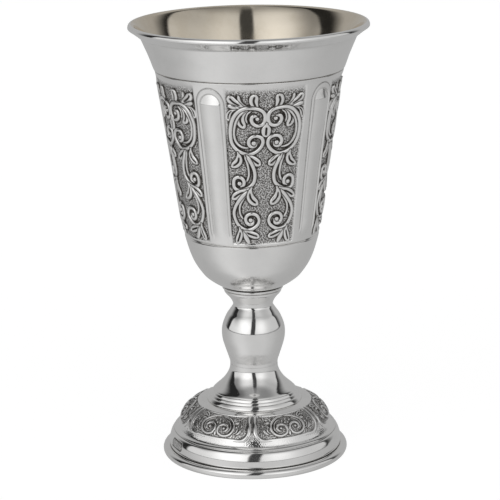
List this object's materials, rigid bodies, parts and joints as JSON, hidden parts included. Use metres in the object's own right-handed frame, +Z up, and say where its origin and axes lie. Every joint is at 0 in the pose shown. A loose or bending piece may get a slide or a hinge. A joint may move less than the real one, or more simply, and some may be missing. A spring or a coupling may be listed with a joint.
{
  "type": "footed cup",
  "caption": "Footed silver cup: flared lip, tapering bowl with flutes and embossed scroll panels, gilt inside, knopped stem, reeded flare and stepped domed foot.",
  "frame": {"origin": "on the turning axis, in the plane the foot stands on", "axes": "+Z up along the turning axis, -Y towards the front, +X to the right"},
  "size_m": [0.078, 0.078, 0.145],
  "materials": {
    "polished_silver": "polished silver with fine turning lines",
    "oxidised_silver": "chased silver, polished high points and dark oxidised ground",
    "pale_gilt": "pale gilding, polished",
    "fastening_steel": "plain turned metal"
  },
  "bodies": {
    "root": {"lip_ring": "polished_silver", "bowl_shell": "oxidised_silver", "cup_liner": "pale_gilt", "bowl_boss": "polished_silver", "bowl_collar": "polished_silver", "stem_baluster": "polished_silver", "reeded_flare": "polished_silver", "foot_dome": "oxidised_silver", "foot_skirt": "polished_silver", "foot_wire": "polished_silver", "tie_rod": "fastening_steel", "foot_washer": "fastening_steel", "foot_nut": "fastening_steel"}
  },
  "joints": []
}
